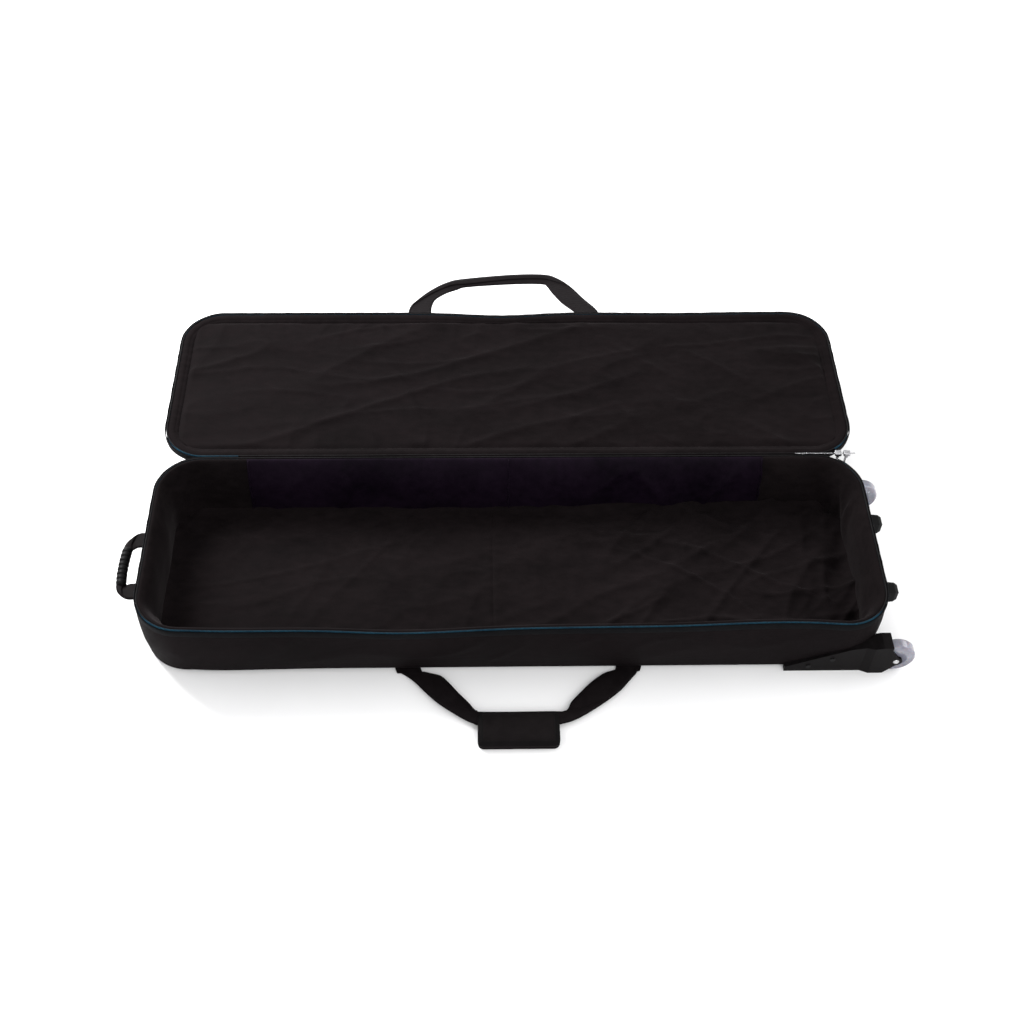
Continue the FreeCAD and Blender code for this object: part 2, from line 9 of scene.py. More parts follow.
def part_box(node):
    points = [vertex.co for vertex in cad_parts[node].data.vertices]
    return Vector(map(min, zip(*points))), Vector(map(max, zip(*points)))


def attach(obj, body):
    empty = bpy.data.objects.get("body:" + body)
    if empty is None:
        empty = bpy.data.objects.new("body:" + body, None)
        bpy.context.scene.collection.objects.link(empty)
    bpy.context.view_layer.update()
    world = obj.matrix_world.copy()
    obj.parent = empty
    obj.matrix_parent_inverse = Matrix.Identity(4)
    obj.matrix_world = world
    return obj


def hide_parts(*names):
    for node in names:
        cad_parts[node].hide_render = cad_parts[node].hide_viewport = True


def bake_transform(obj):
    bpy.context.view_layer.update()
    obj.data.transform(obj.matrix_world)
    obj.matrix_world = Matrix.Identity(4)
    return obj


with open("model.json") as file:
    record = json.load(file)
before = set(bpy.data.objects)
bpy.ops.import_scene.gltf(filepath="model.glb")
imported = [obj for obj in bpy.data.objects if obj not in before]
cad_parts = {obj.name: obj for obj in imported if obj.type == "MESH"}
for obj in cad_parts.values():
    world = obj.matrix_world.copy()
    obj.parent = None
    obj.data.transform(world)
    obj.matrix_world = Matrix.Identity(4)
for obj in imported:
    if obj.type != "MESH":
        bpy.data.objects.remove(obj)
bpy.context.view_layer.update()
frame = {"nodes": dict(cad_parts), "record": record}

# ---- sizes taken from the frame, in metres ------------------------------

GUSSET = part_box("side_gusset")
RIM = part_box("rim_binding")
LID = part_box("lid_panel")
LID_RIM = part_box("lid_rim_binding")
LID_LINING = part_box("lid_lining")
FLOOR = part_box("floor_lining_left")
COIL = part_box("body_zip_coil")
LID_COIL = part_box("lid_zip_coil")
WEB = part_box("hinge_web_tub")
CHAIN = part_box("zip_chain_closed")

HALF_L = GUSSET[1].x
FRONT_Y = GUSSET[0].y
RIM_BACK_Y = -FRONT_Y
TURN_UP = GUSSET[0].z
BASE_BACK_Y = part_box("base_panel")[1].y
RIM_Z = COIL[1].z
CORNER_R = 0.088
STRAIGHT_X = HALF_L - CORNER_R
WALL_T = 0.024
FLOOR_Z = FLOOR[1].z
CREASE_X = FLOOR[1].x
HINGE_Y = (CHAIN[0].y + CHAIN[1].y) / 2
HINGE_Z = (CHAIN[0].z + CHAIN[1].z) / 2
LID_Y0 = LID[0].y
LID_Y1 = LID[1].y
LID_RIM_Z = LID_COIL[1].z
LID_FACE_Z = LID_LINING[1].z
LID_STRAP_Y = LID_Y1 + 0.005
HAUL_Z = 0.075

# Webbing
FRONT_STRAP_W = 0.054
LID_STRAP_W = 0.056
TAB_W = 0.05
STRAP_T = 0.0019
HAUL_W = 0.038
HAUL_T = 0.0022

BACK_SEAMS = (-0.543, 0.527)

ARC_STEPS = 14
FRONT_STEPS = 210
SIDE_STEPS = 44


# ---- camera -------------------------------------------------------------

def make_camera():
    """High three-quarter view from the front, a little left of the middle."""
    turn, pitch, roll = (math.radians(a) for a in (-2.33, 51.2, 1.48))
    along = Vector((-math.sin(turn), math.cos(turn), 0))
    across = Vector((math.cos(turn), math.sin(turn), 0))
    forward = along * math.cos(pitch) - Vector((0, 0, 1)) * math.sin(pitch)
    upward = along * math.sin(pitch) + Vector((0, 0, 1)) * math.cos(pitch)
    right = across * math.cos(roll) + upward * math.sin(roll)
    up = upward * math.cos(roll) - across * math.sin(roll)
    data = bpy.data.cameras.new("camera")
    data.sensor_width = 36.0
    data.lens = 48.41
    camera = bpy.data.objects.new("camera", data)
    axes = Matrix((right, up, -forward)).transposed()
    camera.matrix_world = Matrix.Translation((-0.07, -1.673, 2.31)) @ axes.to_4x4()
    bpy.context.scene.collection.objects.link(camera)
    bpy.context.scene.camera = camera


# ---- materials ----------------------------------------------------------

class Nodes:
    """A short way to build one material's node tree."""

    def __init__(self, name):
        self.material = bpy.data.materials.new(name)
        self.material.use_nodes = True
        self.tree = self.material.node_tree
        self.shader = self.tree.nodes["Principled BSDF"]
        self.place = self.add("ShaderNodeTexCoord").outputs["Object"]

    def add(self, kind, **values):
        node = self.tree.nodes.new(kind)
        for key, value in values.items():
            if hasattr(node, key):
                setattr(node, key, value)
            else:
                node.inputs[key.replace("_", " ")].default_value = value
        return node

    def link(self, source, target):
        self.tree.links.new(source, target)

    def stretched(self, scale):
        node = self.add("ShaderNodeMapping")
        node.inputs["Scale"].default_value = scale
        self.link(self.place, node.inputs["Vector"])
        return node.outputs["Vector"]

    def noise(self, scale, detail=4.0, stretch=None):
        node = self.add("ShaderNodeTexNoise", Scale=scale, Detail=detail)
        self.link(self.stretched(stretch) if stretch else self.place, node.inputs["Vector"])
        return node.outputs["Fac"]

    def bands(self, scale, direction, distortion=0.4):
        node = self.add("ShaderNodeTexWave", bands_direction=direction, Scale=scale,
                        Distortion=distortion)
        node.inputs["Detail Scale"].default_value = 3.0
        self.link(self.place, node.inputs["Vector"])
        return node.outputs["Fac"]

    def sum(self, parts):
        """Weighted sum of (socket, weight) pairs."""
        total = None
        for socket, weight in parts:
            node = self.add("ShaderNodeMath", operation="MULTIPLY_ADD")
            self.link(socket, node.inputs[0])
            node.inputs[1].default_value = weight
            node.inputs[2].default_value = 0.0
            if total is not None:
                self.link(total, node.inputs[2])
            total = node.outputs[0]
        return total

    def spread(self, socket, low, high):
        node = self.add("ShaderNodeMapRange")
        self.link(socket, node.inputs["Value"])
        node.inputs["From Min"].default_value = 0.3
        node.inputs["From Max"].default_value = 0.7
        node.inputs["To Min"].default_value = low
        node.inputs["To Max"].default_value = high
        return node.outputs["Result"]

    def colour(self, socket, dark, light):
        node = self.add("ShaderNodeValToRGB")
        ramp = node.color_ramp.elements
        ramp[0].position, ramp[1].position = 0.34, 0.68
        ramp[0].color = (*dark, 1)
        ramp[1].color = (*light, 1)
        self.link(socket, node.inputs["Fac"])
        self.link(node.outputs["Color"], self.shader.inputs["Base Color"])

    def rough(self, socket, low, high):
        self.link(self.spread(socket, low, high), self.shader.inputs["Roughness"])

    def bump(self, socket, distance, strength=0.6):
        node = self.add("ShaderNodeBump", Distance=distance, Strength=strength)
        self.link(socket, node.inputs["Height"])
        self.link(node.outputs["Normal"], self.shader.inputs["Normal"])

    def sheen(self, weight, roughness, tint):
        self.shader.inputs["Sheen Weight"].default_value = weight
        self.shader.inputs["Sheen Roughness"].default_value = roughness
        self.shader.inputs["Sheen Tint"].default_value = (*tint, 1)


def woven(name, dark, light, pitch, rough=(0.6, 0.8), sheen=0.01, bump=0.0004):
    """Plain weave: crossing threads with wear and shade variation."""
    n = Nodes(name)
    per_metre = 1 / pitch / 20 * 6.283
    threads = n.sum([(n.bands(per_metre, "X"), 0.4), (n.bands(per_metre, "Y"), 0.4),
                     (n.bands(per_metre, "Z"), 0.4), (n.noise(900.0, 2.0), 0.3)])
    wear = n.sum([(n.noise(7.0), 0.6), (n.noise(60.0), 0.4)])
    n.colour(wear, dark, light)
    n.rough(wear, *rough)
    n.bump(threads, bump)
    n.sheen(sheen, 0.4, (0.8, 0.78, 0.8))
    n.shader.inputs["Specular IOR Level"].default_value = 0.03
    return n.material


def plush(name, dark, light, sheen=0.05):
    """Short pile that lies in patches, so the shade shifts over the cloth."""
    n = Nodes(name)
    nap = n.sum([(n.noise(6.0, 5.0, (1, 2.2, 2)), 0.55), (n.noise(38.0, 5.0, (1, 2, 2)), 0.45)])
    pile = n.sum([(n.noise(700.0, 3.0), 0.7), (n.noise(160.0, 4.0), 0.5)])
    n.colour(nap, dark, light)
    n.rough(nap, 0.75, 0.95)
    n.bump(pile, 0.0007, 0.7)
    n.sheen(sheen, 0.35, (0.75, 0.68, 0.7))
    n.shader.inputs["Specular IOR Level"].default_value = 0.04
    return n.material


def moulded(name, dark, light, rough, grain=0.0002, scale=420.0):
    """Moulded plastic with a fine spark-eroded grain and scuffs."""
    n = Nodes(name)
    scuffs = n.sum([(n.noise(14.0, 6.0), 0.5), (n.noise(90.0, 3.0, (1, 1, 0.3)), 0.5)])
    n.colour(scuffs, dark, light)
    n.rough(scuffs, *rough)
    n.bump(n.noise(scale, 3.0), grain)
    n.shader.inputs["Specular IOR Level"].default_value = 0.05
    return n.material


def metal(name, dark, light, rough):
    n = Nodes(name)
    streaks = n.noise(160.0, 4.0, (1, 6, 1))
    n.shader.inputs["Metallic"].default_value = 1.0
    n.colour(streaks, dark, light)
    n.rough(streaks, *rough)
    n.bump(streaks, 0.00004)
    return n.material


def urethane(name):
    """Smoky translucent wheel tyre."""
    n = Nodes(name)
    haze = n.sum([(n.noise(30.0, 5.0), 0.6), (n.noise(140.0, 3.0), 0.4)])
    n.colour(haze, (0.17, 0.165, 0.215), (0.33, 0.325, 0.39))
    n.rough(haze, 0.12, 0.3)
    n.bump(n.noise(240.0, 2.0), 0.00008)
    n.shader.inputs["Transmission Weight"].default_value = 0.35
    n.shader.inputs["Subsurface Weight"].default_value = 0.3
    n.shader.inputs["Subsurface Scale"].default_value = 0.006
    n.shader.inputs["Coat Weight"].default_value = 0.6
    return n.material


MATERIALS = {
    "outer_fabric": woven("outer_fabric_weave", (0.003, 0.002, 0.0023), (0.0066, 0.0048, 0.0053), 0.0011),
    "plush_lining": plush("plush_pile", (0.0024, 0.0015, 0.0017), (0.0068, 0.0049, 0.0053)),
    # The lid's plush is the same cloth as the plush lining, in a darker copy: painted shade that tones the
    # lid down where the key light falls on it.
    "lid_plush_painted_shade": plush("lid_pile_painted_shade", (0.0022, 0.0013, 0.0015), (0.006, 0.0042, 0.0046)),
    "smooth_lining": woven("smooth_lining_weave", (0.0022, 0.001, 0.0029), (0.0066, 0.0034, 0.0078), 0.0006,
                           (0.5, 0.65), 0.01, 0.0001),
    "binding": woven("binding_tape", (0.0026, 0.0022, 0.0024), (0.006, 0.0054, 0.0056), 0.0014, (0.5, 0.7)),
    "piping": woven("piping_cord", (0.006, 0.0055, 0.0058), (0.013, 0.012, 0.0125), 0.001, (0.4, 0.6), 0.03),
    "zip_tape": woven("zip_tape_weave", (0.002, 0.0021, 0.0026), (0.005, 0.0052, 0.006), 0.0009),
    "webbing": woven("webbing_weave", (0.0034, 0.0024, 0.0028), (0.008, 0.0063, 0.0068), 0.0017,
                     (0.42, 0.62), 0.03, 0.0005),
    "wrap_fabric": woven("wrap_weave", (0.0038, 0.0029, 0.0031), (0.008, 0.0065, 0.0068), 0.001,
                         (0.5, 0.7)),
    "hook_tape": woven("hook_tape_hooks", (0.004, 0.004, 0.004), (0.012, 0.012, 0.012), 0.0022,
                       (0.7, 0.9), 0.1, 0.0012),
    "foam": moulded("foam_cells", (0.03, 0.03, 0.03), (0.06, 0.06, 0.06), (0.85, 0.95), 0.0008, 700.0),
    "board": moulded("board_fibre", (0.1, 0.08, 0.06), (0.16, 0.13, 0.1), (0.7, 0.85), 0.0003),
    "zip_coil_blue": moulded("coil_blue", (0.005, 0.03, 0.054), (0.013, 0.064, 0.1), (0.3, 0.45), 0.00005),
    "housing_plastic": moulded("housing_grain", (0.0022, 0.0017, 0.0019), (0.0056, 0.0047, 0.005),
                                 (0.4, 0.62)),
    "foot_plastic": moulded("foot_grain", (0.0026, 0.0026, 0.0027), (0.0075, 0.0075, 0.0078), (0.4, 0.55)),
    "grip_rubber": moulded("grip_grain", (0.003, 0.003, 0.0031), (0.0075, 0.0074, 0.0076), (0.4, 0.58)),
    "wheel_hub": moulded("hub_plastic", (0.1, 0.1, 0.13), (0.2, 0.2, 0.25), (0.25, 0.4)),
    "stitch": moulded("stitch_thread", (0.006, 0.006, 0.006), (0.014, 0.0135, 0.0135), (0.5, 0.7)),
    "black_screw": moulded("screw_black", (0.006, 0.006, 0.006), (0.014, 0.014, 0.014), (0.25, 0.4), 0.00005),
    "wheel_tyre": urethane("tyre_urethane"),
    "steel": metal("bolt_steel", (0.35, 0.35, 0.36), (0.62, 0.62, 0.63), (0.18, 0.4)),
    "zip_metal": metal("slider_metal", (0.3, 0.3, 0.31), (0.6, 0.6, 0.62), (0.15, 0.35)),
}
BLACK_SCREWS = ("housing_screws", "foot_screws")


def dress(obj, name):
    obj.data.materials.clear()
    obj.data.materials.append(MATERIALS[name])


def dress_cad_nodes():
    """Every node that stays on show takes the material of its slot."""
    slots = {s["node"]: s["material_slot"] for s in frame["record"]["subparts"]}
    for name, obj in frame["nodes"].items():
        dress(obj, "black_screw" if name in BLACK_SCREWS else slots[name])


# ---- mesh helpers -------------------------------------------------------

def new_piece(name, points, faces, material, slot, body=None):
    mesh = bpy.data.meshes.new(name)
    mesh.from_pydata([tuple(p) for p in points], [], faces)
    mesh.update()
    obj = bpy.data.objects.new(name, mesh)
    bpy.context.scene.collection.objects.link(obj)
    mesh.polygons.foreach_set("use_smooth", [True] * len(mesh.polygons))
    dress(obj, material)
    if body:
        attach(obj, body)
    return obj


def strip_faces(rows, width, closed):
    """Quads between consecutive rows of width points each."""
    faces = []
    last = width if closed else width - 1
    for r in range(rows - 1):
        for i in range(last):
            j = (i + 1) % width
            a = r * width
            b = a + width
            faces.append((a + i, a + j, b + j, b + i))
    return faces


def wave(x, y, z, scale, seed):
    """Smooth noise from -1 to 1."""
    return noise.noise(Vector((x * scale + seed, y * scale - seed, z * scale + 0.7 * seed)))


def fold(x, y, turn, across, along, seed):
    """Height from 0 to 1 of soft folds that run in the direction turn."""
    c, s = math.cos(turn), math.sin(turn)
    u = x * c + y * s
    v = -x * s + y * c
    bend = 0.35 * noise.noise(Vector((u * along * 0.6, v * along, seed + 9)))
    n = noise.noise(Vector((u * along, v * across + bend * 3, seed)))
    return max(0.0, 1 - abs(n) * 3.2) ** 2


def smooth_step(t):
    t = min(1.0, max(0.0, t))
    return t * t * (3 - 2 * t)


def outline(y0, y1, inset):
    """Points and outward directions round a rounded rectangle, always the same number."""
    r = CORNER_R - inset
    out = []

    def straight(x0, ya, x1, yb, steps, normal):
        for i in range(steps):
            t = i / steps
            out.append((x0 + (x1 - x0) * t, ya + (yb - ya) * t, *normal))

    def corner(cx, cy, start):
        for i in range(ARC_STEPS):
            a = math.radians(start + 90 * i / ARC_STEPS)
            c, s = math.cos(a), math.sin(a)
            out.append((cx + r * c, cy + r * s, c, s))

    sx = STRAIGHT_X
    ex = HALF_L - inset
    straight(-sx, y0 + inset, sx, y0 + inset, FRONT_STEPS, (0, -1))
    corner(sx, y0 + CORNER_R, -90)
    straight(ex, y0 + CORNER_R, ex, y1 - CORNER_R, SIDE_STEPS, (1, 0))
    corner(sx, y1 - CORNER_R, 0)
    straight(sx, y1 - inset, -sx, y1 - inset, FRONT_STEPS, (0, 1))
    corner(-sx, y1 - CORNER_R, 90)
    straight(-ex, y1 - CORNER_R, -ex, y0 + CORNER_R, SIDE_STEPS, (-1, 0))
    corner(-sx, y0 + CORNER_R, 180)
    return out


FRONT_END = FRONT_STEPS
RIGHT_START = FRONT_END + ARC_STEPS
BACK_START = RIGHT_START + SIDE_STEPS + ARC_STEPS
BACK_END = BACK_START + FRONT_STEPS
LOOP = BACK_END + 2 * ARC_STEPS + SIDE_STEPS


def back_edge(z):
    """The tub's back wall leans out towards its rim."""
    t = max(0.0, z - TURN_UP) / (RIM_Z - TURN_UP)
    return BASE_BACK_Y + (RIM_BACK_Y - BASE_BACK_Y) * t


def hill(x, middle, width):
    return math.exp(-((x - middle) / width) ** 2)


def tub_slack(x, y, z):
    """How the soft front wall and its rim sag and bow away from straight."""
    front = smooth_step((-0.1 - y) / 0.1) * smooth_step((HALF_L - 0.02 - abs(x)) / 0.14)
    top = smooth_step((z - 0.02) / (RIM_Z - 0.02))
    bow = -0.005 * hill(x, -0.21, 0.15) + 0.0075 * hill(x, 0.5, 0.15) - 0.003 * hill(x, -0.52, 0.12)
    dip = -0.0085 * hill(x, -0.2, 0.17) - 0.0012 * (1 + wave(x, y, 0, 7.0, 3.1))
    foot = -0.005 * hill(x, -0.57, 0.16) - 0.002 * hill(x, -0.3, 0.15)
    return Vector((0, front * (bow * top + foot * (1 - top)), front * dip * top))


def lid_slack(x, y, z):
    """The lid's far rim is drawn in between its strap's roots; the panel below keeps its edge."""
    far = smooth_step((y - (LID_Y1 - 0.12)) / 0.12) * smooth_step((z - LID_FACE_Z + 0.003) / 0.01)
    drawn = -0.0095 * hill(x, -0.01, 0.11) - 0.003 * hill(x, 0.36, 0.13)
    return Vector((0, far * drawn, -0.0008 * (1 + wave(x, y, z, 6.0, 5.5))))


def tub_point(spot, z, push):
    """Point on the tub's outer wall, pushed out by push."""
    x, y, nx, ny = spot
    return Vector((x + nx * push, y + ny * push, z)) + tub_slack(x, y, z)


def bulge(spot, z):
    """Slack of the outer fabric over its padding, always outwards."""
    x, y, nx, ny = spot
    h = (z - TURN_UP) / (RIM_Z - TURN_UP)
    arch = math.sin(math.pi * min(1.0, max(0.0, h)))
    belly = 0.003 * arch
    slack = 0.003 * (0.5 + 0.5 * wave(x, y, z * 2.2, 5.0, 1.7)) * arch
    along = x if abs(ny) > 0.5 else y
    crease = 0.0016 * fold(along, z, 0.5, 11.0, 4.0, 2.0 + 3 * nx)
    pucker = 0.0004 * math.sin(along * 210 + 2 * math.sin(along * 31)) * smooth_step((h - 0.75) / 0.25)
    return max(0.0, belly + slack + crease * arch + pucker)


# ---- tub: outside -------------------------------------------------------

def make_tub_shell():
    """Bottom and gusset in one skin with a rounded bottom edge."""
    edge_r = 0.013
    inner = outline(FRONT_Y, BASE_BACK_Y, edge_r)
    points = []
    middle_y = (FRONT_Y + BASE_BACK_Y) / 2
    for share in (0.3, 0.6, 0.85):
        for spot in inner:
            points.append(Vector((spot[0] * share, middle_y + (spot[1] - middle_y) * share, 0.0004)))
    for spot in inner:
        points.append(Vector((spot[0], spot[1], 0.0)))
    rows = 4
    for a in (25, 50, 72):
        t = math.radians(a)
        ring = outline(FRONT_Y, BASE_BACK_Y, edge_r * (1 - math.sin(t)))
        points += [Vector((s[0], s[1], edge_r * (1 - math.cos(t)))) for s in ring]
        rows += 1
    heights = [edge_r + 0.0005] + [TURN_UP + (GUSSET[1].z - TURN_UP) * i / 20 for i in range(21)]
    for z in heights:
        ring = outline(FRONT_Y, back_edge(z), 0.0)
        points += [tub_point(s, z, bulge(s, z)) for s in ring]
        rows += 1
    faces = strip_faces(rows, LOOP, True)
    faces.append(tuple(range(LOOP - 1, -1, -1)))
    shell = new_piece("tub_shell", points, faces, "outer_fabric", "outer_fabric", "tub")
    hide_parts("base_panel", "side_gusset")


def sweep(name, profile, y0, y1, place, material, slot, body, spots=None, closed_loop=True):
    """Carry a profile of (inset, z) points round the case's outline."""
    rows = []
    for inset, z in profile:
        ring = outline(y0, y1, inset)
        if spots is not None:
            ring = [ring[i] for i in spots]
        rows.append([place(s, z, inset) for s in ring])
    width = len(rows[0])
    points = [p for row in rows for p in row]
    faces = strip_faces(len(rows), width, closed_loop)
    return new_piece(name, points, faces, material, slot, body)


def puff(spot, inset):
    """A rim puffs a little between its stitches."""
    x, y, _, ny = spot
    along = x if abs(ny) > 0.5 else y
    return 0.0004 * math.sin(along * 330 + 3 * math.sin(along * 17)) + 0.0005 * wave(x, y, inset, 23.0, 8.8)


def lid_rim_point(spot, z, inset):
    x, y = spot[:2]
    return Vector((x, y, z - 0.0006 + puff(spot, inset))) + lid_slack(x, y, z)


def sunk_path(y0, y1, inset, z, slack, spots):
    """Route round the outline just under the rim, lower on the case's ends and the lid's far edge."""
    ring = outline(y0, y1, inset)
    path = []
    for i in spots:
        x, y, nx, ny = ring[i]
        hidden = smooth_step((max(abs(nx), ny) - 0.6) / 0.35)
        path.append(Vector((x - nx * 0.0014 * hidden, y, z - 0.0048 * hidden)) + slack(x, y, z))
    return path


def make_piping(name, y0, y1, inset, z, slack, body):
    """Thin corded edge that closes the roll of the rim."""
    ring = outline(y0, y1, inset)
    path = [Vector((s[0], s[1], z)) + slack(s[0], s[1], z) for s in ring + ring[:2]]
    tube(name, path, 0.0013, 8, "piping", "binding", body)


def add_stitch(points, faces, at, along, up, half=0.0013, wide=0.00045):
    """One raised thread: a small lozenge."""
    side = along.cross(up) * wide
    base = len(points)
    points += [at - along * half, at + side, at + along * half, at - side,
               at + up * wide, at - up * wide * 1.5]
    for i in range(4):
        j = (i + 1) % 4
        faces.append((base + i, base + j, base + 4))
        faces.append((base + j, base + i, base + 5))


# ---- tub: inside --------------------------------------------------------

def wall_in(spot, z, depth, seed, looseness):
    """Point on an inner wall's lining, set into the cavity by depth and its folds."""
    x, y, nx, ny = spot
    h = (z - FLOOR_Z) / (RIM[0].z - FLOOR_Z)
    swell = math.sin(math.pi * min(1.0, max(0.0, h))) ** 0.7
    along = x if abs(ny) > 0.5 else y
    folds = 0.003 * fold(along, z, 1.1, 9.0, 5.0, seed) + 0.0022 * (0.5 + 0.5 * wave(x, y, z, 9.0, seed))
    push = depth + looseness * folds * swell
    return Vector((x - nx * push, y - ny * push, z)) + tub_slack(x, y, z)


def wall_profile():
    """(inset, z) points up the inner wall and over the roll of its rim."""
    top = RIM[1].z
    low = [(WALL_T, FLOOR_Z - 0.001 + (top - 0.066 - FLOOR_Z) * i / 16) for i in range(17)]
    taper = [(0.0238, top - 0.06), (0.0232, top - 0.053), (0.0224, top - 0.046), (0.0214, top - 0.039),
             (0.0202, top - 0.0325), (0.0188, top - 0.0265), (0.0172, top - 0.0205), (0.0154, top - 0.015),
             (0.0136, top - 0.0102), (0.0118, top - 0.0064), (0.01, top - 0.0036), (0.008, top - 0.0016),
             (0.0058, top - 0.0006), (0.0038, top - 0.0012), (0.0024, top - 0.0032), (0.0016, top - 0.006)]
    return low + taper


def make_wall(name, nodes, spots, material, looseness, seed):
    """One stretch of inner wall in a single skin, which hides the lining, foam and binding nodes."""
    profile = wall_profile()
    points = []
    for inset, z in profile:
        leaning = back_edge(min(z, RIM_Z))
        ring = outline(FRONT_Y, leaning, inset)
        for k, i in enumerate(spots):
            ease = smooth_step(min(k, len(spots) - 1 - k) / 9)
            points.append(wall_in(ring[i % LOOP], z, 0.0003, seed, looseness * ease))
    faces = strip_faces(len(profile), len(spots), False)
    wall = new_piece(name, points, faces, material, nodes[0][1], "tub")
    foam = "back_wall_foam" if nodes[0][0].startswith("back") else nodes[0][0].replace("lining", "foam")
    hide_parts("rim_binding", foam, *(node for node, slot in nodes))
    run = sum(math.hypot(b[0] - a[0], b[1] - a[1]) for a, b in zip(profile, profile[1:]))
    return wall


def make_inner_walls():
    """Plush on the front and ends; two smooth panels along the back, plush beside them."""
    back = range(BACK_START, BACK_END + 1)
    seam_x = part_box("back_panel_left")[1].x

    def back_spots(x0, x1):
        step = 2 * STRAIGHT_X / FRONT_STEPS
        return [i for i in back if x0 - step / 2 <= STRAIGHT_X - (i - BACK_START) * step <= x1 + step / 2]

    plush_slot, smooth_slot = "plush_lining", "smooth_lining"
    make_wall("front_wall_soft", [("front_wall_lining", plush_slot)], range(0, FRONT_END + 1),
              plush_slot, 1.0, 4.2)
    make_wall("right_wall_soft", [("right_wall_lining", plush_slot)], range(FRONT_END, BACK_START + 1),
              plush_slot, 2.6, 7.9)
    make_wall("left_wall_soft", [("left_wall_lining", plush_slot)], range(BACK_END, LOOP + 1),
              plush_slot, 2.2, 2.6)
    left, right = ("back_panel_left", smooth_slot), ("back_panel_right", smooth_slot)
    make_wall("back_smooth_left", [left], back_spots(BACK_SEAMS[0], seam_x), smooth_slot, 1.9, 5.1)
    make_wall("back_smooth_right", [right], back_spots(seam_x, BACK_SEAMS[1]), smooth_slot, 2.3, 6.4)
    make_wall("back_plush_left", [left], back_spots(-STRAIGHT_X, BACK_SEAMS[0]), plush_slot, 1.5, 9.3)
    make_wall("back_plush_right", [right], back_spots(BACK_SEAMS[1], STRAIGHT_X), plush_slot, 2.2, 3.3)
    for i, x in enumerate((BACK_SEAMS[0], seam_x, BACK_SEAMS[1])):
        path = [Vector((x + 0.001 * math.sin(k * 0.7), back_edge(z) - inset - 0.0008, z))
                for k, (inset, z) in enumerate(wall_profile()[:29])]
        tube("back_seam_%d" % i, path, 0.002, 8, smooth_slot, smooth_slot, "tub")
    make_piping("tub_piping", FRONT_Y, RIM_BACK_Y, 0.0018, RIM[1].z - 0.001, tub_slack, "tub")


# ---- ropes, coils and ribbons -------------------------------------------

def frames(path):
    """Tangent, side and up at every point of a path, without twisting."""
    out = []
    up = Vector((0, 0, 1))
    for i, p in enumerate(path):
        a = path[max(0, i - 1)]
        b = path[min(len(path) - 1, i + 1)]
        along = (b - a).normalized()
        if abs(along.dot(up)) > 0.98:
            up = Vector((0, 1, 0))
        side = along.cross(up).normalized()
        lift = side.cross(along).normalized()
        up = lift
        out.append((p, along, side, lift))
    return out


def capped_faces(rows, around):
    """Faces of a tube of rows rings, closed at both ends."""
    faces = strip_faces(rows, around, True)
    faces.append(tuple(range(around - 1, -1, -1)))
    faces.append(tuple(range((rows - 1) * around, rows * around)))
    return faces


def tube(name, path, radius, sides, material, slot, body):
    points = []
    for p, _, side, up in frames(path):
        for k in range(sides):
            a = 2 * math.pi * k / sides
            points.append(p + side * radius * math.cos(a) + up * radius * math.sin(a))
    return new_piece(name, points, capped_faces(len(path), sides), material, slot, body)


def resample(path, pitch):
    """Evenly spaced points along a path."""
    out = [path[0].copy()]
    need = pitch
    for a, b in zip(path, path[1:]):
        span = (b - a).length
        while need <= span:
            out.append(a.lerp(b, need / span))
            need += pitch
        need -= span
    return out


def coil(name, path, radius, pitch, material, slot, body):
    """Zipper coil: a fine wire wound round a path."""
    turn_steps = 8
    fine = resample(path, pitch / turn_steps)
    wire = []
    for i, (p, _, side, up) in enumerate(frames(fine)):
        a = 2 * math.pi * i / turn_steps
        wire.append(p + side * radius * math.cos(a) + up * radius * math.sin(a))
    return tube(name, wire, 0.00058, 5, material, slot, body)


def curve_through(stations, steps=14):
    """Catmull-Rom samples through stations, which are tuples of numbers and vectors."""
    out = []
    last = len(stations) - 1
    for i in range(last):
        p0 = stations[max(0, i - 1)]
        p1, p2 = stations[i], stations[i + 1]
        p3 = stations[min(last, i + 2)]
        for k in range(steps + (i == last - 1)):
            t = k / steps
            out.append(tuple(
                0.5 * (2 * b + (c - a) * t + (2 * a - 5 * b + 4 * c - d) * t * t
                       + (3 * b - a - 3 * c + d) * t ** 3)
                for a, b, c, d in zip(p0, p1, p2, p3)))
    return out


def ribbon(name, edges, width, thick, body, slot="webbing"):
    """Webbing given by its outer and inner edges; where they close up it is folded lengthwise."""
    flat = []
    for outer, inner in edges:
        a, b = Vector(outer), Vector(inner)
        folded = min(1.0, max(0.0, 2 - 2 * (b - a).length / width))
        flat.append((*((a + b) / 2), *(b - a).normalized(), folded))
    rows = []
    for sample in curve_through(flat):
        rows.append((Vector(sample[0:3]), Vector(sample[3:6]).normalized(), min(1.0, max(0.0, sample[6]))))
    ribs = 6
    points = []
    for i, (centre, across, folded) in enumerate(rows):
        along = (rows[min(len(rows) - 1, i + 1)][0] - rows[max(0, i - 1)][0]).normalized()
        up = along.cross(across).normalized()
        if up.z < -0.2:
            up = -up
        over = width / 2 * folded
        wide = width - over
        spine = centre - across * (wide / 2)
        raised = up * (thick * 1.15 * min(1.0, over * 120))
        top, bottom = [], []
        for k in range(-ribs, ribs + 1):
            t = abs(k) / ribs
            at = spine + across * (t * (wide if k >= 0 else over))
            if k < 0:
                at = at + raised * min(1.0, 3 * t)
            lift = up if k >= 0 else -up
            edge = 0.6 + 0.4 * math.sqrt(max(0.0, 1 - t ** 6))
            crown = 0.00025 * math.sin(k * 2.2)
            top.append(at + lift * (thick / 2 * edge + crown))
            bottom.append(at - lift * thick / 2 * edge)
        points += top + bottom[::-1]
    around = 2 * (2 * ribs + 1)
    return new_piece(name, points, capped_faces(len(rows), around), "webbing", slot, body)


# ---- linings that lie flat ----------------------------------------------

